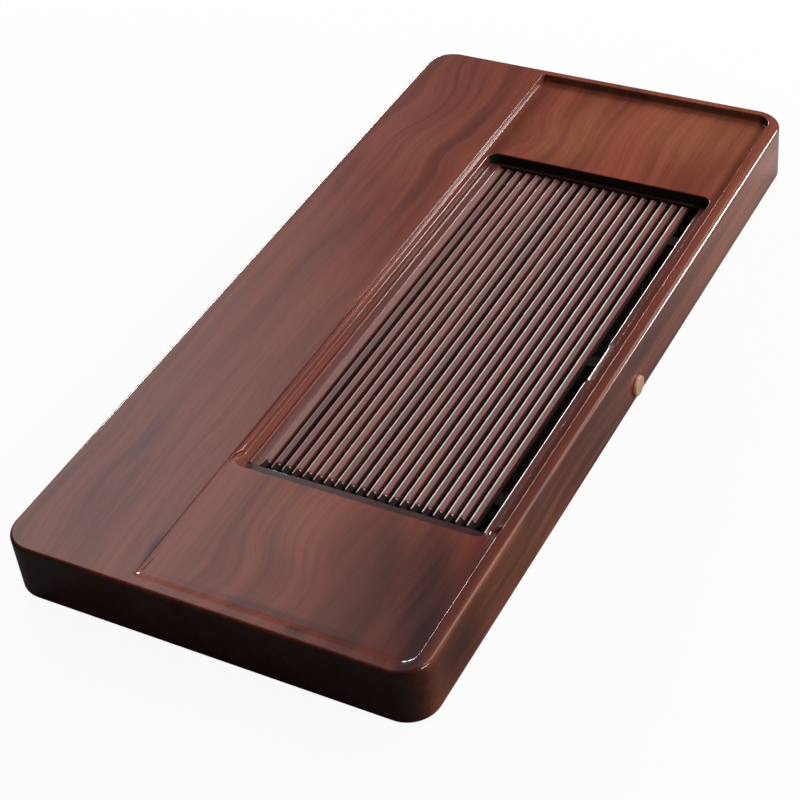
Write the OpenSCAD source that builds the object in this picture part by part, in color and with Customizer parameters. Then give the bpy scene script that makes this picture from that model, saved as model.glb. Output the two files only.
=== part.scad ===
// Tea tray milled from two edge-glued planks, with a lift-out ribbed drip grille over a
// sump, a drain plug in the right long side and four screwed rubber feet.
// X runs along the board to its far end, Y across it to its left side, Z up.
// The origin is on the surface the tray stands on, under the middle of the whole object.

/* [Board] */
// Length of the board
board_l = 720; // [700:5:800]
// Width of the board
board_w = 350; // [346:2:400]
// Thickness of the board
board_t = 52; // [50:1:60]
// Radius of the board's corners in plan
corner_r = 25; // [12:1:35]
// Rounding along the board's top and bottom edges
arris_r = 3; // [2:0.5:4.5]
// Width of the dry plank glued on along the left side
dry_w = 114.8; // [108:0.1:116]

/* [Wet floor] */
// Depth of the sunk wet floor below the board's top
wet_depth = 6.5; // [5:0.5:9]
// Depth of the shallow floor between the near end and the grille
wet_near_depth = 1; // [0.5:0.5:2]
// Distance from the round of the pocket's near corner to the ramp down to the full depth
ramp_start = 0.5; // [0.5:0.5:20]
// Length of that ramp, in the strips beside the grille
ramp_l = 8; // [6:1:60]
// Rim left standing at the near end
rim_near = 12; // [8:1:20]
// Rim left standing at the far end
rim_far = 8.7; // [6:0.1:20]
// Rim left standing along the right side
rim_right = 11.3; // [8:0.1:16]
// Corner radius of the wet floor along the right side
wet_r_right = 12; // [4:1:20]
// Corner radius of the wet floor along the glue line
wet_r_left = 3; // [2:0.5:6]

/* [Grille pocket] */
// Distance from the board's near end to the pocket
pocket_near = 138; // [120:0.5:150]
// Distance from the board's right side to the pocket
pocket_right = 19.5; // [17:0.5:22]
// Length of the pocket
pocket_l = 448.5; // [420:0.5:470]
// Strip left standing between the pocket and the glue line
pocket_left = 5.4; // [4.5:0.1:8]
// Corner radius of the pocket
pocket_r = 8.5; // [5:0.5:12]
// Depth of the grille's top below the board's top
grille_drop = 16; // [14:0.5:18]
// Gap between the grille and the pocket's wall
grille_gap = 0.3; // [0.2:0.1:0.6]

/* [Sump] */
// Width of the ledge that the grille stands on
ledge_w = 8.3; // [6:0.1:9]
// Depth of the sump below the ledge
sump_depth = 15; // [12:0.5:16]

/* [Grille] */
// Height of the grille
grille_t = 13; // [12:0.5:14]
// Width of the grille's near rail
rail_near_w = 19; // [12:0.5:24]
// Width of the grille's far rail
rail_far_w = 3.7; // [3:0.1:8]
// Width of the grille's left rail
rail_left_w = 9.4; // [8.5:0.1:10]
// Width of the grille's right rail
rail_right_w = 10.5; // [8.5:0.1:11]
// Thickness of a slat
slat_w = 4.6; // [3.6:0.1:5.4]
// Height of a slat
slat_h = 9; // [7.5:0.5:10]
// Width of the slot for a finger between the right rail and the first slat
finger_slot_w = 9.8; // [8:0.1:14]
// Radius of the round at a slat's near end
slat_near_r = 6.5; // [4:0.5:7]
// Radius of the round at a slat's far end
slat_far_r = 4; // [2:0.5:7]
// Width of a cross bearer under the slats
bearer_w = 12; // [8:1:20]
// Distance between the cross bearers
bearer_pitch = 170; // [120:5:190]
// Depth of a bearer's notch for each slat
notch_d = 1.5; // [1:0.1:2]
// Side clearance of a slat in its notch
notch_fit = 0.05; // [0.02:0.01:0.1]

/* [Finger scoop] */
// Distance from the pocket's near end to the middle of the finger scoop
scoop_x = 225; // [150:5:300]
// Length of the finger scoop along the right rail
scoop_l = 56; // [40:1:80]
// Length of the slope at each end of the scoop
scoop_run = 8; // [5:1:12]
// Depth of the scoop at the pocket's wall
scoop_d = 0.8; // [0.5:0.1:1.5]
// Slope of the scoop's floor down to the finger slot, in degrees
scoop_tilt = 13; // [8:1:18]

/* [Drain] */
// Diameter of the drain bore
bore_d = 11; // [8:0.5:12]
// Distance from the board's near end to the drain bore
bore_x = 371; // [200:1:500]
// Height of the drain bore's wall over the sump's floor
bore_sill = 0.4; // [0.4:0.1:1]
// Diameter of the drain plug's head
plug_head_d = 17; // [12.5:0.5:18]
// Distance that the plug's head stands out of the board's side
plug_out = 3; // [2:0.5:8]
// Length of the plug's stem inside the bore
plug_stem_l = 22; // [15:1:25]
// Running clearance of the plug's stem on the radius
plug_fit = 0.05; // [0.03:0.01:0.09]
// Gap between the plug's head and the board's side
plug_gap = 0.3; // [0.2:0.1:0.5]
// Chamfer on the plug's head and on the end of its stem
plug_chamfer = 0.8; // [0.4:0.1:1.2]

/* [Feet] */
// Diameter of a rubber foot
foot_d = 22; // [18:1:30]
// Distance that a foot stands below the board
foot_out = 2; // [1.5:0.5:4]
// Depth of the recess that a foot sits in
foot_recess = 3; // [2:0.5:5]
// Distance from the board's ends to a foot's middle
foot_end = 48; // [40:1:70]
// Distance from the board's long sides to a foot's middle
foot_side = 42; // [36:1:60]
// Diameter of a foot screw's shank
screw_d = 3.5; // [3:0.5:4.5]
// Diameter of a foot screw's head
screw_head_d = 7.5; // [6.5:0.5:9]
// Height of a foot screw's head
screw_head_h = 2; // [1.5:0.5:2.5]
// Length of a foot screw's shank
screw_l = 14; // [10:1:18]
// Rubber left under a foot screw's head
foot_web = 1.8; // [1.5:0.1:2.2]

/* [Hidden] */
// Number of slats
slat_count = 20;
// Overshoot that keeps a cut clear of the face it opens
over = 1;

// Line where the two planks meet, from the board's right side
glue_y = board_w - dry_w;
// Width of the pocket
pocket_w = glue_y - pocket_right - pocket_left;
// Level of the wet floor, and the place where the ramp down to it starts
wet_z = board_t - wet_depth;
ramp_x = pocket_near + pocket_r + ramp_start;
// Length and width of the wet floor
wet_l = board_l - rim_near - rim_far;
wet_w = glue_y - rim_right;
// Levels of the grille's top, of the ledge under it and of the sump's floor
grille_z1 = board_t - grille_drop;
ledge_z = grille_z1 - grille_t;
sump_z = ledge_z - sump_depth;
// Outline of the grille
grille_x0 = pocket_near + grille_gap;
grille_y0 = pocket_right + grille_gap;
grille_l = pocket_l - 2 * grille_gap;
grille_w = pocket_w - 2 * grille_gap;
// Bay between the grille's rails
bay_x0 = grille_x0 + rail_near_w;
bay_x1 = grille_x0 + grille_l - rail_far_w;
bay_y0 = grille_y0 + rail_right_w;
bay_y1 = grille_y0 + grille_w - rail_left_w;
// Distance from one slat to the next
slat_pitch = (bay_y1 - bay_y0 - finger_slot_w - slat_w) / (slat_count - 1);
// Level of the slats' undersides and of the bearers' tops
slat_z = grille_z1 - slat_h;
bearer_z1 = slat_z + notch_d;
// Right face of each slat, counted from the finger slot
function slat_y(n) = bay_y1 - slat_w - (slat_count - n) * slat_pitch;
function slat_name(n) = str("slat_", n < 10 ? "0" : "", n);
// Middle of the drain bore
bore_z = sump_z + bore_sill + bore_d / 2;
// Colours of the woods, rubber and steel
walnut = [0.42, 0.25, 0.21];
walnut_dark = [0.34, 0.20, 0.18];
beech = [0.80, 0.65, 0.47];
rubber = [0.08, 0.08, 0.08];
steel = [0.70, 0.70, 0.72];

// Moves what is measured from the board's near right corner to the origin
module at_origin() {
    translate([-board_l / 2, (plug_out - board_w) / 2, foot_out]) children();
}

// Rectangle with its two low-Y corners rounded to r_lo and its two high-Y corners to r_hi
module soft_rect(l, w, r_lo, r_hi) {
    difference() {
        square([l, w]);
        corner_off(r_lo);
        translate([l, 0]) mirror([1, 0]) corner_off(r_lo);
        translate([0, w]) mirror([0, 1]) corner_off(r_hi);
        translate([l, w]) rotate(180) corner_off(r_hi);
    }
}

// What is cut off a square corner at the origin to round it
module corner_off(r) {
    difference() {
        translate([-over, -over]) square(r + over);
        translate([r, r]) circle(r, $fn = 64);
    }
}

// The whole board before anything is cut into it, with soft edges all round
module blank() {
    hull()
        for (x = [corner_r, board_l - corner_r], y = [corner_r, board_w - corner_r],
             z = [arris_r, board_t - arris_r])
            translate([x, y, z])
                rotate_extrude($fn = 48)
                    translate([corner_r - arris_r, 0]) circle(arris_r, $fn = 32);
}

// Sunk wet floor, deep beside and beyond the grille and shallow at the near end
module wet_cut() {
    intersection() {
        translate([rim_near, rim_right, 0])
            linear_extrude(board_t + over) soft_rect(wet_l, wet_w, wet_r_right, wet_r_left);
        translate([0, board_w, 0]) rotate([90, 0, 0])
            linear_extrude(board_w)
                polygon([
                    [rim_near - over, board_t - wet_near_depth],
                    [ramp_x, board_t - wet_near_depth],
                    [ramp_x + ramp_l, wet_z],
                    [board_l, wet_z],
                    [board_l, board_t + over],
                    [rim_near - over, board_t + over]]);
    }
}

// Pocket for the grille, with the sump below its ledge
module pocket_cut() {
    translate([pocket_near, pocket_right, ledge_z])
        linear_extrude(board_t - ledge_z + over)
            soft_rect(pocket_l, pocket_w, pocket_r, pocket_r);
    translate([pocket_near + ledge_w, pocket_right + ledge_w, sump_z])
        linear_extrude(sump_depth + over)
            soft_rect(pocket_l - 2 * ledge_w, pocket_w - 2 * ledge_w, pocket_r, pocket_r);
}

// Places its children at one foot, or at all four
module at_foot(far, left) {
    translate([far ? board_l - foot_end : foot_end, left ? board_w - foot_side : foot_side, 0])
        children();
}
module at_feet() {
    for (far = [false, true], left = [false, true]) at_foot(far, left) children();
}

// Recess and pilot hole for each foot
module foot_cuts() {
    at_feet() {
        translate([0, 0, -over]) cylinder(d = foot_d, h = foot_recess + over, $fn = 64);
        cylinder(d = screw_d, h = foot_recess - foot_web + screw_l, $fn = 32);
    }
}

// Right plank: wet floor, grille pocket, sump and drain bore
module wet_plank() {
    color(walnut) at_origin()
        difference() {
            intersection() {
                blank();
                translate([-over, -over, -over])
                    cube([board_l + 2 * over, glue_y + over, board_t + 2 * over]);
            }
            wet_cut();
            pocket_cut();
            translate([bore_x, pocket_right + ledge_w + over, bore_z]) rotate([90, 0, 0])
                cylinder(d = bore_d, h = pocket_right + ledge_w + 2 * over, $fn = 64);
            foot_cuts();
        }
}

// Left plank, plain and dry on top
module dry_plank() {
    color(walnut) at_origin()
        difference() {
            intersection() {
                blank();
                translate([-over, glue_y, -over])
                    cube([board_l + 2 * over, dry_w + over, board_t + 2 * over]);
            }
            foot_cuts();
        }
}

// Part of the grille's rounded outline between two corners
module grille_part(x0, y0, x1, y1) {
    intersection() {
        translate([grille_x0, grille_y0, ledge_z])
            linear_extrude(grille_t)
                soft_rect(grille_l, grille_w, pocket_r - grille_gap, pocket_r - grille_gap);
        translate([x0, y0, ledge_z - over])
            cube([x1 - x0, y1 - y0, grille_t + 2 * over]);
    }
}

module rail_near() {
    color(walnut_dark) at_origin()
        grille_part(grille_x0 - over, grille_y0 - over, bay_x0, grille_y0 + grille_w + over);
}

module rail_far() {
    color(walnut_dark) at_origin()
        grille_part(bay_x1, grille_y0 - over, grille_x0 + grille_l + over,
                    grille_y0 + grille_w + over);
}

module rail_left() {
    color(walnut_dark) at_origin()
        grille_part(bay_x0, bay_y1, bay_x1, grille_y0 + grille_w + over);
}

// Right rail, with a shallow scoop for the finger that lifts the grille
module rail_right() {
    color(walnut_dark) at_origin()
        difference() {
            grille_part(bay_x0, grille_y0 - over, bay_x1, bay_y0);
            scoop_cut();
        }
}

// Trapezoid drawn along the rail's section, tilted down to the finger slot
module scoop_cut() {
    half = scoop_l / 2;
    lift = scoop_d + over;
    deep = rail_right_w * sin(scoop_tilt) + scoop_d;
    translate([pocket_near + scoop_x, grille_y0 - over, grille_z1 - scoop_d])
        rotate([-scoop_tilt, 0, 0]) rotate([90, 0, 0])
            translate([0, 0, -2 * rail_right_w]) linear_extrude(2 * rail_right_w)
                polygon([
                    [scoop_run - half, 0],
                    [half - scoop_run, 0],
                    [half, deep + lift],
                    [-half, deep + lift]]);
}

// One slat: a strip with its two top ends rounded
module slat(n) {
    color(walnut_dark) at_origin()
        translate([0, slat_y(n) + slat_w, 0]) rotate([90, 0, 0])
            linear_extrude(slat_w)
                difference() {
                    translate([bay_x0, slat_z]) square([bay_x1 - bay_x0, slat_h]);
                    translate([bay_x0, grille_z1]) mirror([0, 1]) corner_off(slat_near_r);
                    translate([bay_x1, grille_z1]) rotate(180) corner_off(slat_far_r);
                }
}

// One cross bearer, notched for every slat
module bearer(place) {
    middle = (bay_x0 + bay_x1) / 2 + place * bearer_pitch;
    color(walnut_dark) at_origin()
        difference() {
            translate([middle - bearer_w / 2, bay_y0, ledge_z])
                cube([bearer_w, bay_y1 - bay_y0, bearer_z1 - ledge_z]);
            for (n = [1:slat_count])
                translate([middle - bearer_w / 2 - over, slat_y(n) - notch_fit, slat_z])
                    cube([bearer_w + 2 * over, slat_w + 2 * notch_fit, notch_d + over]);
        }
}

// Turned plug: a stem in the drain bore and a head outside the board
module drain_plug() {
    head_r = plug_head_d / 2;
    stem_r = bore_d / 2 - plug_fit;
    color(beech) at_origin()
        translate([bore_x, 0, bore_z]) rotate([-90, 0, 0])
            rotate_extrude($fn = 64)
                polygon([
                    [0, -plug_out],
                    [head_r - plug_chamfer, -plug_out],
                    [head_r, plug_chamfer - plug_out],
                    [head_r, -plug_gap],
                    [stem_r, -plug_gap],
                    [stem_r, plug_stem_l - plug_chamfer],
                    [stem_r - plug_chamfer, plug_stem_l],
                    [0, plug_stem_l]]);
}

// One rubber foot, with a well for its screw's head
module foot(far, left) {
    color(rubber) at_origin()
        at_foot(far, left) translate([0, 0, -foot_out])
            difference() {
                cylinder(d = foot_d, h = foot_out + foot_recess, $fn = 64);
                translate([0, 0, -over])
                    cylinder(d = screw_d, h = foot_out + foot_recess + 2 * over, $fn = 32);
                translate([0, 0, -over])
                    cylinder(d = screw_head_d, h = foot_out + foot_recess - foot_web + over,
                             $fn = 48);
            }
}

// The four screws that hold the feet
module foot_screws() {
    head_z = foot_recess - foot_web;
    color(steel) at_origin()
        at_feet() {
            translate([0, 0, head_z - screw_head_h])
                cylinder(d = screw_head_d, h = screw_head_h, $fn = 48);
            translate([0, 0, head_z]) cylinder(d = screw_d, h = screw_l, $fn = 32);
        }
}

wet_plank();
dry_plank();
rail_near();
rail_far();
rail_left();
rail_right();
for (n = [1:slat_count])
    slat(n);
bearer(-1);  // bearer_near
bearer(0);  // bearer_mid
bearer(1);  // bearer_far
drain_plug();
foot(false, false);  // foot_near_right
foot(false, true);  // foot_near_left
foot(true, false);  // foot_far_right
foot(true, true);  // foot_far_left
foot_screws();
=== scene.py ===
import math

import bmesh
import bpy
import numpy as np
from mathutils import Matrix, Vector


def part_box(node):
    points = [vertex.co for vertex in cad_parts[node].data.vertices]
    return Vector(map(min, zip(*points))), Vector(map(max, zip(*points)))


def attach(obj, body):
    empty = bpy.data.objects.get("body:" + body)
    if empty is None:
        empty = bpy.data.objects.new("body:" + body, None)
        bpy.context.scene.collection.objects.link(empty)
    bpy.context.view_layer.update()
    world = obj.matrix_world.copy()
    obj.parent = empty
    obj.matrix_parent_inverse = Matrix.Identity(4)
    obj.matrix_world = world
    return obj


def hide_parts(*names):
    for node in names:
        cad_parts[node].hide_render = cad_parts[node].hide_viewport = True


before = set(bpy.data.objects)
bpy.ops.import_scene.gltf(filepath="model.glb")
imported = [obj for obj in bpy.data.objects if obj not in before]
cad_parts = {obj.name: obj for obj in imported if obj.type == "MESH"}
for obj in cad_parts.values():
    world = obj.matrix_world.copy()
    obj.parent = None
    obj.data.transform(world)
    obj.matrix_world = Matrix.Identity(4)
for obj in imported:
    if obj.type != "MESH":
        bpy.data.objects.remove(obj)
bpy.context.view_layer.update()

# Camera and studio. The tray lies on a plain white floor and is seen from its near right
# corner, from above. Two boxes stand beyond its far end and one at its right side, and a wide
# dim one hangs over it, in a nearly dark room with one soft bright wall.
camera_place = (-1.09395, -0.65337, 1.05235)
camera_turns = (49.157, 5.485, -62.285)
camera = bpy.data.objects.new("camera", bpy.data.cameras.new("camera"))
bpy.context.scene.collection.objects.link(camera)
camera.location = camera_place
camera.rotation_euler = [math.radians(turn) for turn in camera_turns]
camera.data.lens = 89.62
camera.data.clip_end = 50
bpy.context.scene.camera = camera
bpy.context.scene.view_settings.view_transform = "Standard"


def node_maker(tree):
    """Returns a function that adds a node to the tree and wires or sets its inputs by name."""
    def make(kind, **inputs):
        shader_node = tree.nodes.new(kind)
        for key, value in inputs.items():
            if key in shader_node.bl_rna.properties:
                setattr(shader_node, key, value)
                continue
            number = int(key[1:]) if key[0] == "i" and key[1:].isdigit() else None
            socket = shader_node.inputs[number if number is not None else key.replace("_", " ")]
            if isinstance(value, bpy.types.NodeSocket):
                tree.links.new(value, socket)
            else:
                socket.default_value = value
        return shader_node
    return make


def new_material(name):
    """An empty node material and its node maker."""
    material = bpy.data.materials.new(name)
    material.use_nodes = True
    material.node_tree.nodes.clear()
    return material, node_maker(material.node_tree)


def arithmetic(make, operation, *terms, **settings):
    """The result of one sum, product or other step of arithmetic."""
    inputs = {"i%d" % number: term for number, term in enumerate(terms)}
    return make("ShaderNodeMath", operation=operation, **settings, **inputs).outputs[0]


def remapped(make, value, low, high, to_low=0.0, to_high=1.0, **settings):
    """A value carried from one range to another, and held at its ends."""
    return make("ShaderNodeMapRange", Value=value, From_Min=low, From_Max=high, To_Min=to_low,
                To_Max=to_high, **settings).outputs[0]


card_tone, strip_tone = 0.12, 0.34
strip_along, strip_beside = (-0.20, 0.42), (0.10, -0.15)
paper_tone, seen_glow = 0.90, 0.94


def floor_paper():
    """White paper to the camera, with the tray's soft shadow left on it. The lacquer mirrors a
    dim card in its place, with a paler strip at the right, which doesn't veil the dark wood."""
    material, make = new_material("floor_paper")
    ray = make("ShaderNodeLightPath")
    place = make("ShaderNodeSeparateXYZ", Vector=make("ShaderNodeTexCoord").outputs["Object"])
    along = remapped(make, place.outputs["X"], *strip_along, 0.0, strip_tone)
    beside = remapped(make, place.outputs["Y"], *strip_beside)
    pale = arithmetic(make, "MULTIPLY_ADD", along, beside, card_tone)
    grey = make("ShaderNodeCombineColor", i0=pale, i1=pale, i2=pale)
    card = make("ShaderNodeBsdfDiffuse", Color=grey.outputs[0], Roughness=0.0)
    paper = make("ShaderNodeBsdfDiffuse", Color=(paper_tone, paper_tone, paper_tone, 1),
                 Roughness=0.0)
    glow = make("ShaderNodeEmission", Color=(1, 1, 1, 1), Strength=1.0)
    seen_paper = make("ShaderNodeMixShader", Fac=seen_glow, i1=paper.outputs[0],
                      i2=glow.outputs[0])
    mixed = make("ShaderNodeMixShader", Fac=ray.outputs["Is Camera Ray"], i1=card.outputs[0],
                 i2=seen_paper.outputs[0])
    make("ShaderNodeOutputMaterial", Surface=mixed.outputs[0])
    return material


bpy.ops.mesh.primitive_plane_add(size=12, location=(0, 0, 0))
floor = bpy.context.object
floor.name = "floor"
floor.data.materials.append(floor_paper())

wall_towards, wall_edge = (0.46, 0.62, 0.635), 0.945
room_tone, wall_tone = 0.03, 1.25
world = bpy.data.worlds.new("room")
bpy.context.scene.world = world
world.use_nodes = True
world.node_tree.nodes.clear()
in_world = node_maker(world.node_tree)
way = in_world("ShaderNodeTexCoord").outputs["Generated"]
facing = in_world("ShaderNodeVectorMath", operation="DOT_PRODUCT", i0=way, i1=wall_towards)
soft_wall = remapped(in_world, facing.outputs["Value"], wall_edge, 1.0, room_tone, wall_tone,
                     interpolation_type="SMOOTHSTEP")
dim = in_world("ShaderNodeBackground", Color=(0.93, 0.96, 1.0, 1), Strength=soft_wall)
white = in_world("ShaderNodeBackground", Color=(1, 1, 1, 1), Strength=1.0)
seen = in_world("ShaderNodeMixShader", i1=dim.outputs[0], i2=white.outputs[0],
                Fac=in_world("ShaderNodeLightPath").outputs["Is Camera Ray"])
in_world("ShaderNodeOutputWorld", Surface=seen.outputs[0])


def softbox(name, towards, width, height, radiance, tint=(1.0, 1.0, 1.0), distance=2.6):
    """A rectangular lamp that looks at the tray from a direction, of an even brightness."""
    lamp = bpy.data.lights.new(name, "AREA")
    lamp.shape = "RECTANGLE"
    lamp.size, lamp.size_y, lamp.color = width, height, tint
    lamp.energy = radiance * math.pi * width * height
    box = bpy.data.objects.new(name, lamp)
    bpy.context.scene.collection.objects.link(box)
    box.location = Vector(towards).normalized() * distance
    box.rotation_euler = Vector(towards).to_track_quat("Z", "Y").to_euler()


softbox("far_left_box", (0.66, 0.68, 0.30), width=1.3, height=0.35, radiance=40)
softbox("far_right_box", (0.74, -0.50, 0.42), width=0.60, height=0.55, radiance=26)
softbox("key_box", (0.50, -0.25, 0.83), width=1.7, height=1.7, radiance=1.8)
softbox("right_box", (-0.10, -0.80, 0.52), width=0.90, height=0.30, radiance=26,
        tint=(1.0, 0.86, 0.78))

# Both planks. The board is two planks of dark figured walnut glued edge to edge, milled from
# above on a router and finished with satin lacquer; all its edges are rounded over by hand.
# The pocket and the sump in it carry painted shade, dark below the wet floor.
MM = 0.001
board_l, board_w, board_t = 720.0, 350.0, 52.0
dry_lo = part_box("dry_plank")[0]
wet_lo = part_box("wet_plank")[0]
board_corner = np.array(wet_lo)
glue_y = (dry_lo.y - wet_lo.y) / MM


def to_frame(points):
    """Millimetres from the board's near right bottom corner, as metres in the row frame."""
    return np.asarray(points, float) * MM + board_corner


def node_span(name):
    """A CAD node's lowest and highest corner in millimetres from the board's corner."""
    low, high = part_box(name)
    return (np.array(low) - board_corner) / MM, (np.array(high) - board_corner) / MM


long_cuts, short_cuts, corner_cuts = 72, 36, 12


def outline(x0, x1, y0, y1, near_right_r, far_right_r, far_left_r, near_left_r):
    """Points and outward normals round a soft rectangle, anticlockwise from the near right."""
    corners = [(x0, y0, 1, 1, near_right_r), (x1, y0, -1, 1, far_right_r),
               (x1, y1, -1, -1, far_left_r), (x0, y1, 1, -1, near_left_r)]
    centres = [np.array([x + sx * r, y + sy * r]) for x, y, sx, sy, r in corners]
    points, normals = [], []
    for turn in range(4):
        ahead = (turn + 1) % 4
        radius, next_radius = corners[turn][4], corners[ahead][4]
        start = math.pi * (1 + turn / 2)
        for step in range(corner_cuts + 1):
            angle = start + step / corner_cuts * math.pi / 2
            normal = np.array([math.cos(angle), math.sin(angle)])
            points.append(centres[turn] + radius * normal)
            normals.append(normal)
        cuts = long_cuts if turn % 2 == 0 else short_cuts
        for step in range(1, cuts):
            share = step / cuts
            points.append((centres[turn] + radius * normal) * (1 - share)
                          + (centres[ahead] + next_radius * normal) * share)
            normals.append(normal)
    return np.array(points), np.array(normals)


def ring(line, out, z):
    """One closed ring of points: an outline moved out by some millimetres, at a height."""
    points, normals = line
    moved = points + normals * np.reshape(out, (-1, 1))
    return np.column_stack([moved, np.broadcast_to(z, len(moved))])


def loft(rings):
    """A closed skin through rings of equal length, with its first and last ring capped."""
    skin = bmesh.new()
    loops = [[skin.verts.new(point) for point in to_frame(one)] for one in rings]
    for low, high in zip(loops, loops[1:]):
        for i in range(len(low)):
            j = (i + 1) % len(low)
            skin.faces.new((low[i], low[j], high[j], high[i]))
    skin.faces.new(loops[0][::-1])
    skin.faces.new(loops[-1])
    return skin


sharp_turn = math.radians(32)


def finished(name, skin, material, body, slot, *nodes):
    """Turns a skin into a piece: smooth shading, its material, its body and its CAD nodes."""
    bmesh.ops.recalc_face_normals(skin, faces=skin.faces)
    mesh = bpy.data.meshes.new(name)
    skin.to_mesh(mesh)
    skin.free()
    mesh.shade_smooth()
    mesh.set_sharp_from_angle(angle=sharp_turn)
    mesh.materials.append(material)
    piece = bpy.data.objects.new(name, mesh)
    bpy.context.scene.collection.objects.link(piece)
    weighted = piece.modifiers.new("true_flats", "WEIGHTED_NORMAL")
    weighted.keep_sharp = True
    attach(piece, body)
    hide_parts(*nodes)
    return piece


# Outlines of the board, of the wet floor, of the grille's pocket and of the sump
board_r, wet_r, glue_r, pocket_r = 25.0, 12.0, 3.0, 8.5
board_line = outline(0, board_l, 0, board_w, board_r, board_r, board_r, board_r)
wet_line = outline(12, board_l - 8.7, 11.3, glue_y, wet_r, wet_r, glue_r, glue_r)
pocket_line = outline(138, 586.5, 19.5, glue_y - 5.4, pocket_r, pocket_r, pocket_r, pocket_r)
sump_line = outline(146.3, 578.2, 27.8, glue_y - 13.7, pocket_r, pocket_r, pocket_r, pocket_r)

# Levels and rounds: the wet floor is shallow at the near end and full beyond a short ramp
wet_depth, near_depth, ramp_x, ramp_l = 6.5, 1.0, 147.0, 8.0
ledge_z, sump_z = 23.0, 8.0
top_round, foot_round, sump_round = 3.0, 3.0, 3.0
right_spread = 1.4
wall_draft = 0.15
near_arris, near_cove = 4.5, 5.0
flat_edge = 0.8
top_edge, near_top_edge = 2.3, 3.0
floor_edge = 0.6


def floor_depth(x):
    """Depth of the wet floor at x: shallow at the near end, then a short ramp, then full."""
    share = np.clip((np.asarray(x) - ramp_x) / ramp_l, 0, 1)
    return near_depth + (wet_depth - near_depth) * share * share * (3 - 2 * share)


def quarter(steps):
    """Shares of run and rise along a quarter circle that starts level."""
    turns = [math.pi / 2 * step / steps for step in range(steps + 1)]
    return [(math.sin(turn), 1 - math.cos(turn)) for turn in turns]


def by_side(line, near=0, far=0, right=0, left=0):
    """A value for every point of an outline, blended between its four sides' values."""
    normals = line[1]
    ways = np.column_stack([-normals[:, 0], normals[:, 0], -normals[:, 1], normals[:, 1]])
    return np.clip(ways, 0, 1) ** 2 @ np.array([near, far, right, left])


def outside_rings():
    """The underside's rounded edge, the sides, and the top's edge, which is rubbed down wider
    along the right side the farther it is from the near end."""
    rings = [ring(board_line, -foot_round - flat_edge, 0)]
    rings += [ring(board_line, foot_round * (run - 1), foot_round * rise)
              for run, rise in quarter(8)]
    rings += [ring(board_line, 0, foot_round + flat_edge)]
    rings += [ring(board_line, 0, board_t - top_round - flat_edge)]
    right_run = top_round * (1.0 + right_spread * board_line[0][:, 0] / board_l)
    top_run = by_side(board_line, near=top_round, far=top_round, left=top_round)
    top_run += right_run * by_side(board_line, right=1)
    rings += [ring(board_line, top_run * (run - 1), board_t - top_round * rise)
              for run, rise in reversed(quarter(14))]
    return rings + [ring(board_line, -top_run - flat_edge, board_t)]


def wet_wall_rings():
    """The wall round the wet floor, with its arris and its cove, which together make one soft
    dished slope at the near side. The last ring is the edge of the floor's flat."""
    wet_round = by_side(wet_line, far=1.5, right=0.45, left=0.6)
    cove_round = by_side(wet_line, far=4.2, right=1.5, left=0.8)
    near_side = by_side(wet_line, near=1)
    rings = [ring(wet_line, wall_draft + top_edge + near_top_edge * near_side, board_t)]
    wall_depth = floor_depth(wet_line[0][:, 0])
    shallow = wall_depth / wet_depth
    arris_run = wet_round * shallow ** 0.5 + near_arris * near_side
    cove_run = cove_round * shallow ** 0.5 + near_cove * near_side
    arris, cove = quarter(6), quarter(8)
    for step, (run, rise) in enumerate(arris):
        part = step / (len(arris) - 1)
        out = run * (1 - near_side) + part * near_side
        drop = wet_round * rise * shallow + near_side * part ** 2 * wall_depth / 2
        rings.append(ring(wet_line, wall_draft + arris_run * (1 - out), board_t - drop))
    for step, (run, rise) in reversed(list(enumerate(cove))):
        part = step / (len(cove) - 1)
        out = run * (1 - near_side) + part * near_side
        lift = cove_round * rise * shallow + near_side * part ** 2 * wall_depth / 2
        rings.append(ring(wet_line, -wall_draft - cove_run * (1 - out),
                          board_t - wall_depth + lift))
    return rings, ring(wet_line, -wall_draft - cove_run - floor_edge, 0)


def floor_and_pocket_rings(floor_foot):
    """The wet floor from the foot of its wall to the pocket, then the pocket and the sump."""
    pocket_round = by_side(pocket_line, near=0.3, far=1.2, right=0.15, left=1.3)
    lip = ring(pocket_line, pocket_round + floor_edge, 0)
    rings = []
    for share in np.linspace(0, 1, 25):
        level = floor_foot * (1 - share) + lip * share
        level[:, 2] = board_t - floor_depth(level[:, 0])
        rings.append(level)
    lip_z = board_t - floor_depth(pocket_line[0][:, 0])
    for run, rise in quarter(8):
        rings.append(ring(pocket_line, pocket_round * (1 - run), lip_z - pocket_round * rise))
    rings += [ring(pocket_line, 0, ledge_z + flat_edge), ring(pocket_line, 0, ledge_z)]
    rings += [ring(sump_line, flat_edge, ledge_z), ring(sump_line, 0, ledge_z - 0.5)]
    rings += [ring(sump_line, -sump_round * rise, sump_z + sump_round * (1 - run))
              for run, rise in quarter(6)]
    return rings


def plank_half(keep_left):
    """One side of the board's skin, cut off along the glue line and closed there."""
    wall_rings, floor_foot = wet_wall_rings()
    skin = loft(outside_rings() + wall_rings + floor_and_pocket_rings(floor_foot))
    cut = Vector((0, dry_lo.y, 0))
    geometry = skin.verts[:] + skin.edges[:] + skin.faces[:]
    made = bmesh.ops.bisect_plane(skin, geom=geometry, dist=1e-7, plane_co=cut,
                                  plane_no=(0, 1, 0), clear_inner=keep_left,
                                  clear_outer=not keep_left)
    rim = [part for part in made["geom_cut"] if isinstance(part, bmesh.types.BMEdge)]
    bmesh.ops.triangle_fill(skin, edges=rim, use_beauty=True)
    return skin


mask_height = 100


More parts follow.
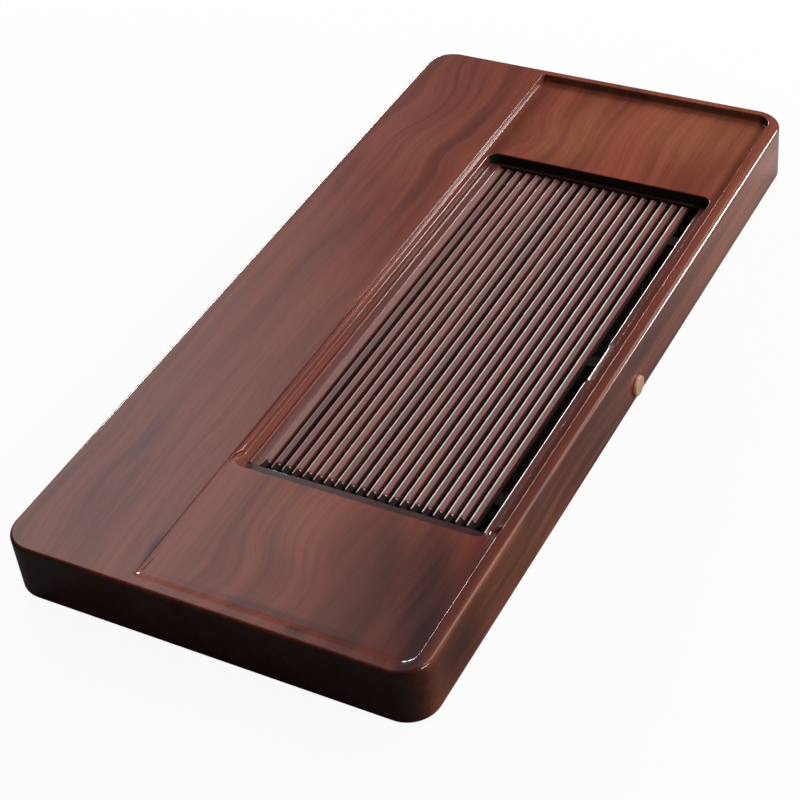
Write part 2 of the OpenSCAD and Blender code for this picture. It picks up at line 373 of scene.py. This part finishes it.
def soft_spot(make, place, x, y, half_x, half_y, turn=0.0):
    """A soft oval mask on the board, 1 at its middle; millimetres and degrees."""
    middle = to_frame((x, y, 0))
    local = make("ShaderNodeMapping", vector_type="TEXTURE", Vector=place,
                 Location=(middle[0], middle[1], 0), Rotation=(0, 0, math.radians(turn)),
                 Scale=(half_x * MM, half_y * MM, mask_height))
    cone = make("ShaderNodeTexGradient", gradient_type="SPHERICAL", Vector=local.outputs[0])
    return remapped(make, cone.outputs["Fac"], 0.0, 1.0, interpolation_type="SMOOTHERSTEP")


unshaded_below_z, shaded_above_z = 3.0, 6.0


def painted_hollow_shade(make, place, low, high, dark_z, light_z, darkest):
    """How much light wood is left inside a hollow darkened with painted shade: its box in plan,
    the level below which the painted shade is full, and the level where it ends. The board's own
    underside is left without it."""
    low, high = np.array(low, float), np.array(high, float)
    middle = to_frame((*(low + high) / 2, 0))
    half = (high - low) / 2 * MM
    local = make("ShaderNodeMapping", vector_type="TEXTURE", Vector=place,
                 Location=(middle[0], middle[1], 0), Scale=(half[0], half[1], 1))
    sides = make("ShaderNodeSeparateXYZ", Vector=make(
        "ShaderNodeVectorMath", operation="ABSOLUTE", i0=local.outputs[0]).outputs[0])
    edge = arithmetic(make, "MAXIMUM", sides.outputs["X"], sides.outputs["Y"])
    inside = arithmetic(make, "LESS_THAN", edge, 1.0)
    levels = [to_frame((0, 0, z))[2] for z in (dark_z, light_z, unshaded_below_z, shaded_above_z)]
    below = remapped(make, sides.outputs["Z"], levels[0], levels[1], 1.0, 0.0)
    above = remapped(make, sides.outputs["Z"], levels[2], levels[3])
    painted_dark = arithmetic(make, "MULTIPLY", inside, arithmetic(make, "MULTIPLY", below, above))
    return remapped(make, painted_dark, 0.0, 1.0, 1.0, darkest)


def product(make, sockets):
    """Some sockets multiplied together."""
    result = sockets[0]
    for socket in sockets[1:]:
        result = arithmetic(make, "MULTIPLY", result, socket)
    return result


def vector_sum(make, first, second):
    """Two vectors added."""
    return make("ShaderNodeVectorMath", operation="ADD", i0=first, i1=second).outputs[0]


def mixed_colour(make, share, under, over):
    """One colour laid over another by a share."""
    mix = make("ShaderNodeMix", data_type="RGBA", i0=share, i6=under, i7=over)
    return [out for out in mix.outputs if out.type == "RGBA"][0]


def grain_noise(make, place, stretch, detail, roughness, distortion=0.0):
    """Noise drawn out along the grain; the stretch is its cycles in a metre."""
    drawn = make("ShaderNodeMapping", Vector=place, Scale=stretch).outputs[0]
    return make("ShaderNodeTexNoise", Scale=1.0, Detail=detail, Roughness=roughness,
                Distortion=distortion, Vector=drawn).outputs["Fac"]


def strip_chance(make, place, first, pitch):
    """A random number and a random colour for each strip across the board."""
    across = make("ShaderNodeSeparateXYZ", Vector=place).outputs["Y"]
    strips_in = arithmetic(make, "DIVIDE", arithmetic(make, "SUBTRACT", across, first), pitch)
    return make("ShaderNodeTexWhiteNoise", noise_dimensions="1D",
                W=arithmetic(make, "FLOOR", strips_in))


# Tint and share of the glows, which are partly lighter figure and partly painted sheen.
glow_and_sheen_tint, glow_and_sheen_share = (0.36, 0.125, 0.060, 1), 0.55
# Tint and share of the shadows, which are partly dark streaks in the wood and partly painted
# shade.
streak_and_shade_tint, streak_and_shade_share = (0.035, 0.014, 0.016, 1), 0.85
band_share, ring_share = 0.68, 0.32
side_streaks, end_tone = 0.28, 0.50
shade_rough = 0.85


def walnut(name, light, mid, dark, burrs=(), glows_and_sheen=(), streaks_and_shade=(), wander=0.010, gloss=0.14,
           seed=0.0, strips=None, hollows=(), crest_highlight=None, coat=0.5):
    """Figured walnut under satin lacquer. The grain runs along the board, bends round each burr,
    and carries lighter patches and dark streaks, partly the wood's own figure and partly painted
    sheen and painted shade. It may be cut into strips, darkened in hollows with painted shade,
    and given a painted highlight on its crests."""
    material, make = new_material(name)
    place = make("ShaderNodeTexCoord").outputs["Object"]
    start = vector_sum(make, place, (seed, seed * 0.7, seed))
    own_tone = []
    if strips:
        chance = strip_chance(make, place, *strips)
        own = make("ShaderNodeVectorMath", operation="MULTIPLY", i0=chance.outputs["Color"],
                   i1=(1.5, 0.4, 1.1))
        start = vector_sum(make, start, own.outputs[0])
        own_tone = [remapped(make, chance.outputs["Value"], 0.0, 1.0, 0.80, 1.16)]

    slow = grain_noise(make, start, (3.0, 7.0, 7.0), 2.0, 0.5)
    bend = remapped(make, slow, 0.25, 0.75, -wander, wander)
    lift_y = bend
    for x, y, half_x, half_y, turn, lift in burrs:
        spot = soft_spot(make, place, x, y, half_x, half_y, turn)
        lift_y = arithmetic(make, "ADD", lift_y, arithmetic(make, "MULTIPLY", spot, lift * MM))
    lifted = make("ShaderNodeCombineXYZ", Y=lift_y, Z=bend).outputs[0]
    moved = vector_sum(make, start, lifted)
    bands = grain_noise(make, moved, (1.4, 34.0, 30.0), 4.0, 0.55, 0.3)
    rings = grain_noise(make, moved, (3.0, 150.0, 110.0), 3.0, 0.6, 0.4)
    fibre = grain_noise(make, moved, (14.0, 620.0, 620.0), 3.0, 0.65)
    pore = grain_noise(make, moved, (60.0, 1300.0, 1300.0), 1.0, 0.5)

    figure = arithmetic(make, "MULTIPLY_ADD", rings, ring_share,
                        arithmetic(make, "MULTIPLY", bands, band_share))
    tone = make("ShaderNodeValToRGB", Fac=figure)
    ramp = tone.color_ramp
    ramp.elements[0].position, ramp.elements[0].color = 0.30, (*dark, 1)
    ramp.elements[1].position, ramp.elements[1].color = 0.70, (*light, 1)
    ramp.elements.new(0.46).color = (*mid, 1)
    colour = tone.outputs["Color"]
    on_grain = vector_sum(make, place, lifted)
    # Glows and shadows laid over the figure, partly the wood's own and partly painted sheen and
    # painted shade.
    for spots, tint, strength in ((glows_and_sheen, glow_and_sheen_tint, glow_and_sheen_share),
                                  (streaks_and_shade, streak_and_shade_tint, streak_and_shade_share)):
        for x, y, half_x, half_y, turn, amount in spots:
            spot = soft_spot(make, on_grain, x, y, half_x, half_y, turn)
            frayed = remapped(make, rings, 0.3, 0.7, 0.6 * amount, 1.4 * amount)
            ragged = arithmetic(make, "MULTIPLY", spot, frayed, use_clamp=True)
            share = arithmetic(make, "MULTIPLY", ragged, strength)
            colour = mixed_colour(make, share, colour, tint)

    fine = remapped(make, fibre, 0.3, 0.7, 0.88, 1.12)
    pits = remapped(make, pore, 0.28, 0.40, 0.80, 1.0)
    normal = make("ShaderNodeTexCoord").outputs["Normal"]
    across = make("ShaderNodeSeparateXYZ", Vector=make(
        "ShaderNodeVectorMath", operation="ABSOLUTE", i0=normal).outputs[0])
    on_side = remapped(make, across.outputs["Y"], 0.5, 0.9)
    streak = remapped(make, figure, 0.40, 0.60, -side_streaks, side_streaks)
    shades = [fine, pits, *own_tone, arithmetic(make, "MULTIPLY_ADD", on_side, streak, 1.0),
              remapped(make, across.outputs["X"], 0.30, 0.75, 1.0, end_tone)]
    rough = remapped(make, fibre, 0.3, 0.7, gloss + 0.04, gloss - 0.02)
    # Painted shade in the hollows: the colour is darkened, and the lacquer is made rough and its
    # coat taken away there.
    if hollows:
        hollow_shade = product(make, [painted_hollow_shade(make, place, *hollow) for hollow in hollows])
        shades.append(hollow_shade)
        rough = remapped(make, hollow_shade, 0.2, 0.9, shade_rough, rough)
        coat = remapped(make, hollow_shade, 0.3, 0.9, 0.0, coat)
    colour = make("ShaderNodeVectorMath", operation="SCALE", i0=colour,
                  Scale=product(make, shades)).outputs[0]

    # A painted highlight on the crests, where the surface faces up: pinker towards the left of
    # the grille and whiter towards its right.
    if crest_highlight:
        highlight_from, highlight_to, highlight_share, left_highlight_tint, right_highlight_tint = crest_highlight
        up = make("ShaderNodeSeparateXYZ", Vector=normal).outputs["Z"]
        crest = remapped(make, up, highlight_from, highlight_to, 0.0, highlight_share,
                         interpolation_type="SMOOTHSTEP")
        beside = make("ShaderNodeSeparateXYZ", Vector=place).outputs["Y"]
        tint = mixed_colour(make, remapped(make, beside, 0.02, -0.10), (*left_highlight_tint, 1),
                            (*right_highlight_tint, 1))
        colour = mixed_colour(make, crest, colour, tint)
    relief = arithmetic(make, "MULTIPLY_ADD", pits, 0.5, fine)
    bump = make("ShaderNodeBump", Strength=0.02, Distance=0.0002, Height=relief)
    lacquer = make("ShaderNodeBsdfPrincipled", Base_Color=colour, Roughness=rough, IOR=1.45,
                   Coat_Weight=coat, Coat_Roughness=0.08, Normal=bump.outputs[0])
    make("ShaderNodeOutputMaterial", Surface=lacquer.outputs[0])
    return material


# Each burr, glow and shadow is: x, y, half length, half width, turn, strength. The glows are
# partly lighter figure and partly painted sheen; the shadows are partly dark streaks in the wood
# and partly painted shade.
wet_burrs = [(40, 150, 60, 75, 0, 15), (105, 130, 70, 50, 20, -10), (610, 190, 70, 60, 25, 16),
             (660, 110, 80, 60, 0, -8)]
# Some of these glows are painted sheen, such as the pale band along the far right rim.
wet_glows_and_painted_sheen = [(110, 140, 70, 50, 10, 0.8), (640, 170, 90, 60, -20, 0.9), (650, 70, 70, 50, 0, 0.6),
             (680, 70, 70, 90, 0, 0.9), (90, -6, 200, 13, 0, 2.2), (590, 4, 170, 11, 0, 0.9)]
# Some of these shadows are painted shade, such as the streak along the near rim and the patch at
# the near right corner.
wet_streaks_and_painted_shade = [(80, 36, 100, 24, 13, 0.9), (40, 17, 110, 12, 6, 0.9), (100, 78, 60, 16, 18, 0.5),
               (50, 60, 150, 60, 10, 0.6), (8, 95, 10, 14, 0, 0.8), (18, 120, 7, 130, 0, 0.6),
               (60, -2, 60, 3, 0, 0.7), (190, 0, 60, 4, 0, 0.5), (22, 14, 50, 22, 20, 0.6)]
# Painted shade over the pocket's walls and the sump, below the wet floor; the pocket's left wall
# is left out.
pocket_painted_shade = ((137.5, 18.4), (587.0, glue_y - 6.0), 44.4, 45.6, 0.05)
wet_walnut = walnut("plank_walnut", (0.34, 0.094, 0.056), (0.205, 0.054, 0.034),
                    (0.100, 0.026, 0.020), wet_burrs, wet_glows_and_painted_sheen, wet_streaks_and_painted_shade,
                    hollows=[pocket_painted_shade])
dry_burrs = [(455, 285, 90, 32, 0, 9), (560, 262, 50, 40, -20, -10), (640, 300, 90, 60, -15, 16),
             (60, 330, 110, 40, -12, -9)]
dry_glows_and_painted_sheen = [(560, 290, 90, 40, 0, 0.45), (330, 280, 160, 40, 0, 0.2)]
dry_streaks_and_painted_shade = [(40, 238, 26, 5, 0, 1.0), (500, 330, 90, 12, 3, 0.4)]
dry_walnut = walnut("dry_walnut", (0.31, 0.088, 0.055), (0.205, 0.056, 0.037),
                    (0.100, 0.029, 0.023), dry_burrs, dry_glows_and_painted_sheen, dry_streaks_and_painted_shade, seed=3.3)

wet_plank = finished("wet_plank_wood", plank_half(False), wet_walnut, "tray", "walnut",
                     "wet_plank")
dry_plank = finished("dry_plank_wood", plank_half(True), dry_walnut, "tray", "walnut",
                     "dry_plank")


def bore_through(piece, centre, direction, radius, length, sides=64):
    """Drills a round hole into a piece."""
    drill = bmesh.new()
    bmesh.ops.create_cone(drill, cap_ends=True, segments=sides, radius1=radius * MM,
                          radius2=radius * MM, depth=length * MM)
    mesh = bpy.data.meshes.new("drill")
    drill.to_mesh(mesh)
    drill.free()
    bit = bpy.data.objects.new("drill", mesh)
    bpy.context.scene.collection.objects.link(bit)
    bit.location = to_frame(centre)
    bit.rotation_euler = Vector(direction).to_track_quat("Z", "Y").to_euler()
    bpy.context.view_layer.update()
    cut = piece.modifiers.new("hole", "BOOLEAN")
    cut.operation, cut.solver, cut.object = "DIFFERENCE", "EXACT", bit
    bpy.context.view_layer.objects.active = piece
    piece.modifiers.move(len(piece.modifiers) - 1, 0)
    bpy.ops.object.modifier_apply(modifier="hole")
    bpy.data.objects.remove(bit)


drain_r, drain_l, drain_mid_y = 5.5, 34.0, 13.0
plug_lo, plug_hi = node_span("drain_plug")
plug_x, plug_z = (plug_lo[0] + plug_hi[0]) / 2, (plug_lo[2] + plug_hi[2]) / 2
bore_through(wet_plank, (plug_x, drain_mid_y, plug_z), (0, 1, 0), drain_r, drain_l)
foot_r, foot_recess = 11.0, 3.0
for foot, plank in (("foot_near_right", wet_plank), ("foot_near_left", dry_plank),
                    ("foot_far_right", wet_plank), ("foot_far_left", dry_plank)):
    foot_lo, foot_hi = node_span(foot)
    foot_x, foot_y = (foot_lo[:2] + foot_hi[:2]) / 2
    bore_through(plank, (foot_x, foot_y, 0), (0, 0, 1), foot_r, 2 * foot_recess)

# Grille rails. Four walnut rails glued up into a frame that lifts out of the pocket. The right
# rail has a shallow scoop for the finger, over the slot beside the first slat, and the left
# rail has a small bead along its outer edge.
grille_z0, grille_z1 = 23.0, 36.0
grille_tones = ((0.28, 0.098, 0.080), (0.185, 0.064, 0.055), (0.100, 0.035, 0.032))
grille_low, grille_high = (130, 10), (600, 240)
# Painted shade on the grille's rails, full below 27 mm and fading out by 32.5 mm.
grille_painted_shade = (grille_low, grille_high, 27.0, 32.5, 0.05)
grille_walnut = walnut("grille_walnut", *grille_tones, wander=0.004, seed=7.1,
                       hollows=[grille_painted_shade])


def along_x(stations, section_at):
    """A skin through sections in YZ that stand at the given places along the board."""
    skin = bmesh.new()
    loops = []
    for x in stations:
        loops.append([skin.verts.new(point)
                      for point in to_frame([(x, y, z) for y, z in section_at(x)])])
    for low, high in zip(loops, loops[1:]):
        for i in range(len(low)):
            j = (i + 1) % len(low)
            skin.faces.new((low[i], high[i], high[j], low[j]))
    skin.faces.new(loops[0])
    skin.faces.new(loops[-1][::-1])
    return skin


right_lo, right_hi = node_span("rail_right")
scoop_mid, scoop_half, scoop_run, scoop_d, scoop_slope = 363.0, 28.0, 8.0, 0.8, 0.19
slope_w, inner_round = 5.0, 2.2


def scoop_share(x):
    """How far the scoop is sunk at x, from 0 outside it to 1 on its flat."""
    inside = np.clip((scoop_half - abs(x - scoop_mid)) / scoop_run, 0, 1)
    return inside * inside * (3 - 2 * inside)


def right_section(x):
    """The right rail's section: flat outside, and a slope down to the finger slot inside."""
    y0, y1 = right_lo[1], right_hi[1]
    sunk = scoop_share(x)
    low = grille_z1 - sunk * scoop_d
    foot = grille_z1 - sunk * (scoop_d + scoop_slope * slope_w)
    points = [(y0, grille_z0), (y0, low - 0.6), (y0 + 0.2, low - 0.2), (y0 + 0.6, low),
              (y1 - slope_w, low)]
    points += [(y1 - inner_round * (1 - run), foot - inner_round * rise)
               for run, rise in quarter(6)]
    return points + [(y1, grille_z0)]


scoop_places = list(np.linspace(scoop_mid - scoop_half, scoop_mid + scoop_half, 57))
near_places = list(np.linspace(right_lo[0], scoop_places[0] - 1, 12))
far_places = list(np.linspace(scoop_places[-1] + 1, right_hi[0], 12))
finished("rail_right_wood", along_x(near_places + scoop_places + far_places, right_section),
         grille_walnut, "grille", "walnut_grille", "rail_right")

left_lo, left_hi = node_span("rail_left")
rail_round, bead_w, bead_h = 1.2, 2.2, 1.0


def left_section(x):
    """The left rail's section, with the small bead along its outer edge."""
    y0, y1 = left_lo[1], left_hi[1]
    points = [(y0, grille_z0)] + [(y0 + rail_round * rise, grille_z1 - rail_round * (1 - run))
                                  for run, rise in quarter(5)]
    points += [(y1 - bead_w / 2 - bead_w / 2 * math.cos(turn),
                grille_z1 + bead_h * math.sin(turn))
               for turn in np.linspace(0.0, math.pi, 11)]
    return points + [(y1, grille_z0)]


finished("rail_left_wood", along_x(np.linspace(left_lo[0], left_hi[0], 24), left_section),
         grille_walnut, "grille", "walnut_grille", "rail_left")


def soft_block(lo, hi, side, corner_r, edge_r):
    """A block with the upright edges rounded at one end, and all its top edges softened."""
    skin = bmesh.new()
    bmesh.ops.create_cube(skin, size=1.0)
    for vert in skin.verts:
        share = np.array(vert.co) + 0.5
        vert.co = to_frame(lo + (hi - lo) * share)
    middle_x = to_frame((lo + hi) / 2)[0]
    upright = [edge for edge in skin.edges
               if abs(edge.verts[0].co.z - edge.verts[1].co.z) > 1e-6
               and (edge.verts[0].co.x - middle_x) * side > 0]
    bmesh.ops.bevel(skin, geom=upright, offset=corner_r * MM, segments=10, profile=0.5,
                    affect="EDGES", clamp_overlap=True)
    top = max(vert.co.z for vert in skin.verts)
    upper = [edge for edge in skin.edges if all(vert.co.z > top - 1e-6 for vert in edge.verts)]
    bmesh.ops.bevel(skin, geom=upper, offset=edge_r * MM, segments=4, profile=0.5,
                    affect="EDGES", clamp_overlap=True)
    return skin


# The near and far rails take the grille's walnut painted about three times darker, as painted
# shade at the pocket's ends.
end_rail_shaded_walnut = walnut("rail_shaded_walnut", (0.085, 0.034, 0.034), (0.058, 0.022, 0.023),
                         (0.034, 0.013, 0.014), seed=2.7, hollows=[grille_painted_shade])
end_edge = 0.9
for rail, side, corner_r in (("rail_near", -1, 8.2), ("rail_far", 1, 3.0)):
    skin = soft_block(*node_span(rail), side, corner_r, end_edge)
    finished(rail + "_wood", skin, end_rail_shaded_walnut, "grille", "walnut_grille", rail)

# Slats. Twenty walnut strips on edge, glued to the rails at both ends. Each is planed to a narrow
# crest on its left, which carries a painted highlight, with a long slope down to the right that
# sheds water.
slat_near_r, slat_far_r, slope_drop, crest_w = 2.5, 4.0, 1.5, 0.95
near_sink, near_sink_l, least_flank = 6.5, 10.0, 1.0
slat_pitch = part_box("slat_02")[0].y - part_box("slat_01")[0].y
# Painted shade on the slats: on their sides in the slots below the slopes, and over their near
# ends by the near rail.
flank_painted_shade = (grille_low, grille_high, 28.0, 33.6, 0.08)
near_end_painted_shade = ((150, 10), (165.5, 240), 40.0, 41.0, 0.06)
slat_walnut = walnut("slat_walnut", *grille_tones, wander=0.004, seed=7.1, gloss=0.18, coat=0.1,
                     strips=(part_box("slat_01")[0].y - slat_pitch / 4, slat_pitch),
                     hollows=[flank_painted_shade, near_end_painted_shade],
                     crest_highlight=(0.95, 0.99, 0.95, (0.46, 0.29, 0.27), (0.74, 0.66, 0.65)))


def end_drop(radius, distance):
    """How far a rounded end has dropped at a distance from its tip."""
    return radius - math.sqrt(max(0, radius ** 2 - max(0, radius - distance) ** 2))


def slat_skin(lo, hi):
    """A slat: its crested section, carried along it and brought down at both rounded ends."""
    def section(x):
        near, far = x - lo[0], hi[0] - x
        top = hi[2] - end_drop(slat_near_r, near) - end_drop(slat_far_r, far)
        sunk = min(slope_drop + near_sink * max(0, 1 - near / near_sink_l) ** 0.7,
                   top - lo[2] - least_flank)
        y0, y1 = lo[1], hi[1]
        ease = y1 - 0.25 - crest_w
        slope = [(y0 + (ease - 0.5 - y0) * run, top - 0.3 - (sunk - 0.3) * (1 - run) ** 1.15)
                 for run in (0.12, 0.35, 0.6, 0.82, 1.0)]
        crest = [(ease - 0.15, top - 0.07), (ease + 0.05, top), (y1 - 0.3, top),
                 (y1 - 0.08, top - 0.12), (y1, top - 0.45)]
        return [(y0, lo[2]), (y0, top - sunk - 0.4)] + slope + crest + [(y1, lo[2])]

    near_ends = (0.0, 0.15, 0.5, 1.0, 1.8, 2.8, 4.2, 5.6, 7.0, 8.2, 9.2, 9.8, 10.2, 14.0)
    far_ends = (8.0, 5.0, 4.0, 3.0, 2.0, 1.2, 0.6, 0.2, 0.0)
    places = [lo[0] + end for end in near_ends]
    places += list(np.linspace(lo[0] + 30, hi[0] - 30, 14))
    places += [hi[0] - end for end in far_ends]
    return along_x(places, section)


for name in sorted(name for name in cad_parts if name.startswith("slat_")):
    finished(name + "_wood", slat_skin(*node_span(name)), slat_walnut, "grille",
             "walnut_grille", name)


# Bearers. Three notched walnut strips glued across the frame under the slats, painted near black
# as shade, like the painted shade on the sump below them; they keep their CAD shape and take a
# dull finish.
def dress_node(name, material):
    """Gives a CAD node its own material."""
    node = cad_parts[name]
    node.data.materials.clear()
    node.data.materials.append(material)


# Near black, dull walnut: painted shade under the slats.
bearer_painted_shade = walnut("bearer_painted_shade", (0.020, 0.010, 0.009), (0.012, 0.006, 0.005),
                      (0.006, 0.003, 0.003), seed=5.5, gloss=0.7, coat=0.0)
for name in ("bearer_near", "bearer_mid", "bearer_far"):
    dress_node(name, bearer_painted_shade)


# Drain plug. A turned peg of pale beech, left bare, with a low round head. It is pushed by
# hand into the drain bore in the right side, and only its head stands out.
def beech_wood():
    """Bare pale beech with short darker flecks along the peg's axis."""
    material, make = new_material("beech_wood")
    place = make("ShaderNodeTexCoord").outputs["Object"]
    stretched = make("ShaderNodeMapping", Vector=place, Scale=(900.0, 90.0, 900.0))
    fleck = make("ShaderNodeTexNoise", Vector=stretched.outputs[0], Scale=1.0, Detail=4.0,
                 Roughness=0.6)
    tone = make("ShaderNodeValToRGB", Fac=fleck.outputs["Fac"])
    tone.color_ramp.elements[0].position = 0.3
    tone.color_ramp.elements[0].color = (0.52, 0.27, 0.13, 1)
    tone.color_ramp.elements[1].position = 0.62
    tone.color_ramp.elements[1].color = (0.86, 0.60, 0.38, 1)
    bump = make("ShaderNodeBump", Strength=0.2, Distance=0.0002, Height=fleck.outputs["Fac"])
    bare = make("ShaderNodeBsdfPrincipled", Base_Color=tone.outputs["Color"], Roughness=0.5,
                Normal=bump.outputs[0])
    make("ShaderNodeOutputMaterial", Surface=bare.outputs[0])
    return material


def turned(profile, centre, axis, sides=64):
    """A skin turned from (distance along the axis, radius) points."""
    skin = bmesh.new()
    spin = Vector(axis).to_track_quat("Z", "Y")
    loops = []
    for along, radius in profile:
        loop = []
        for step in range(sides):
            angle = 2 * math.pi * step / sides
            place = spin @ Vector((radius * math.cos(angle), radius * math.sin(angle), along))
            loop.append(skin.verts.new(to_frame(np.array(centre) + np.array(place))))
        loops.append(loop)
    for low, high in zip(loops, loops[1:]):
        for i in range(sides):
            j = (i + 1) % sides
            skin.faces.new((low[i], low[j], high[j], high[i]))
    skin.faces.new(loops[0][::-1])
    skin.faces.new(loops[-1])
    return skin


head_r, head_out, head_round, head_flat = 8.5, 3.0, 1.3, 0.6
back_gap, back_ease = 0.3, 0.2
stem_r, stem_l, tip_ease = 5.45, 22.0, 0.8
peg = [(-head_out, head_r - head_round - head_flat)]
peg += [(-head_out + head_round * rise, head_r - head_round * (1 - run))
        for run, rise in quarter(5)]
peg += [(-back_gap - back_ease, head_r), (-back_gap, head_r - back_ease), (-back_gap, stem_r)]
peg += [(stem_l - tip_ease, stem_r), (stem_l, stem_r - tip_ease)]
finished("drain_plug_wood", turned(peg, (plug_x, 0, plug_z), (0, 1, 0)), beech_wood(), "plug",
         "beech", "drain_plug")


# Feet and their screws. Black rubber pads let into the underside, each held by one
# countersunk steel screw; they keep their CAD shape.
def foot_rubber():
    """Matte black rubber with a fine moulded grain."""
    material, make = new_material("foot_rubber")
    place = make("ShaderNodeTexCoord").outputs["Object"]
    grain = make("ShaderNodeTexNoise", Vector=place, Scale=2200.0, Detail=2.0)
    bump = make("ShaderNodeBump", Strength=0.25, Distance=0.0001, Height=grain.outputs["Fac"])
    tone = remapped(make, grain.outputs["Fac"], 0.0, 1.0, 0.014, 0.030)
    black = make("ShaderNodeCombineColor", i0=tone, i1=tone, i2=tone)
    rubber = make("ShaderNodeBsdfPrincipled", Base_Color=black.outputs[0], Roughness=0.75,
                  Normal=bump.outputs[0])
    make("ShaderNodeOutputMaterial", Surface=rubber.outputs[0])
    return material


def screw_steel():
    """Zinc-plated steel with a finely mottled shine."""
    material, make = new_material("screw_steel")
    place = make("ShaderNodeTexCoord").outputs["Object"]
    grain = make("ShaderNodeTexNoise", Vector=place, Scale=900.0, Detail=3.0)
    rough = remapped(make, grain.outputs["Fac"], 0.0, 1.0, 0.22, 0.42)
    steel = make("ShaderNodeBsdfPrincipled", Base_Color=(0.62, 0.62, 0.60, 1), Metallic=1.0,
                 Roughness=rough)
    make("ShaderNodeOutputMaterial", Surface=steel.outputs[0])
    return material


black_rubber = foot_rubber()
for name in ("foot_near_right", "foot_near_left", "foot_far_right", "foot_far_left"):
    dress_node(name, black_rubber)
dress_node("foot_screws", screw_steel())
